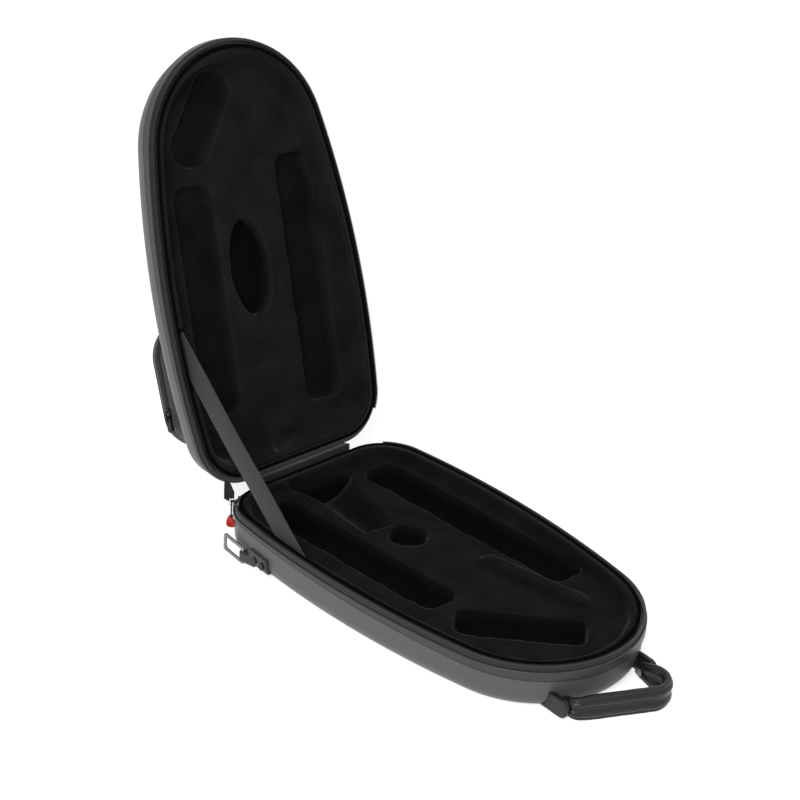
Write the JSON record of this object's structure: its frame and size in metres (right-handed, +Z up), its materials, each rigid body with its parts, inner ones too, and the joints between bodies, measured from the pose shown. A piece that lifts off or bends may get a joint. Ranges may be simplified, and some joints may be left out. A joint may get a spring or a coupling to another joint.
{
  "type": "clarinet case",
  "caption": "Egg-shaped zipped hard case for a clarinet, standing open: moulded plush wells, hinged domed lid with stay ribbon, outside pocket, end handle and strap rings.",
  "frame": {"origin": "middle of the base's underside, on the floor", "axes": "+Z up; +Y towards the hinge end, where the open lid stands; -Y towards the rounded carrying end with the handle; +X to the right of the hinge end seen from the carrying end"},
  "size_m": [0.234, 0.6114, 0.4284],
  "materials": {
    "shell": "satin",
    "rim_band": "satin",
    "plush": "matte",
    "webbing_black": "matte",
    "webbing_grey": "matte",
    "pocket_fabric": "matte",
    "zip_chain": "satin",
    "leather": "satin",
    "plastic": "matte",
    "nickel": "polished",
    "red_tag": "satin"
  },
  "bodies": {
    "base": {"base_shell": "shell", "base_rim_band": "rim_band", "base_liner": "plush", "base_zip_tape": "webbing_black", "base_zip_chain": "zip_chain", "hinge_strip": "webbing_black", "zip_end_tab": "webbing_black", "stay_plate_base": "plastic", "stay_studs_base": "nickel", "lid_stay_strap": "webbing_grey", "handle_chape_left": "leather", "handle_chape_right": "leather", "handle_pins": "nickel", "ring_chape_left": "leather", "ring_chape_right": "leather", "ring_rivets_left": "nickel", "ring_rivets_right": "nickel"},
    "lid": {"lid_shell": "shell", "lid_rim_band": "rim_band", "lid_liner": "plush", "lid_zip_tape": "webbing_black", "lid_zip_chain": "zip_chain", "stay_plate_lid": "plastic", "stay_studs_lid": "nickel", "pocket_gusset": "pocket_fabric", "pocket_zip_tape": "webbing_black", "pocket_zip_chain": "zip_chain"},
    "handle": {"handle_grip": "leather"},
    "ring_left": {"strap_ring_left": "nickel"},
    "ring_right": {"strap_ring_right": "nickel"},
    "zip_slider": {"zip_slider": "nickel"},
    "zip_pull": {"zip_pull": "nickel", "zip_tag": "red_tag"},
    "pocket_flap": {"pocket_flap": "pocket_fabric", "pocket_flap_zip_tape": "webbing_black", "pocket_flap_zip_chain": "zip_chain"},
    "pocket_slider": {"pocket_slider": "nickel"},
    "pocket_pull": {"pocket_pull": "nickel"}
  },
  "joints": [
    {"name": "lid_hinge", "type": "hinge", "parent": "base", "child": "lid", "pos_m": [0, 0.2032, 0.047], "axis": [1, 0, 0], "range_deg": [0, 109], "deforming": ["lid_stay_strap", "hinge_strip"]},
    {"name": "handle_lift", "type": "hinge", "parent": "base", "child": "handle", "pos_m": [-0.00607, -0.19921, 0.0124], "axis": [-0.9981, 0.061, 0], "range_deg": [0, 35]},
    {"name": "ring_left_swing", "type": "hinge", "parent": "base", "child": "ring_left", "pos_m": [-0.11212, 0.1532, 0.0104], "axis": [0, 0, 1], "range_deg": [0, 90]},
    {"name": "ring_right_swing", "type": "hinge", "parent": "base", "child": "ring_right", "pos_m": [0.11212, 0.1532, 0.0104], "axis": [0, 0, -1], "range_deg": [0, 90]},
    {"name": "zip_slider_travel", "type": "hinge", "parent": "base", "child": "zip_slider", "pos_m": [-0.062, 0.153, 0.047], "axis": [0, 0, 1], "range_deg": [0, 16]},
    {"name": "zip_pull_swing", "type": "hinge", "parent": "zip_slider", "child": "zip_pull", "pos_m": [-0.09967, 0.18633, 0.0451], "axis": [0.6626, 0.749, 0], "range_deg": [0, 35]},
    {"name": "pocket_flap_hinge", "type": "hinge", "parent": "lid", "child": "pocket_flap", "pos_m": [0, 0.27041, 0.05791], "axis": [-1, 0, 0], "range_deg": [0, 80]},
    {"name": "pocket_slider_travel", "type": "slide", "parent": "lid", "child": "pocket_slider", "axis": [0, 0.3256, 0.9455], "range_m": [0, 0.046]},
    {"name": "pocket_pull_swing", "type": "hinge", "parent": "pocket_slider", "child": "pocket_pull", "pos_m": [-0.0993, 0.28282, 0.09394], "axis": [0, 0.9455, -0.3256], "range_deg": [0, 35]}
  ]
}
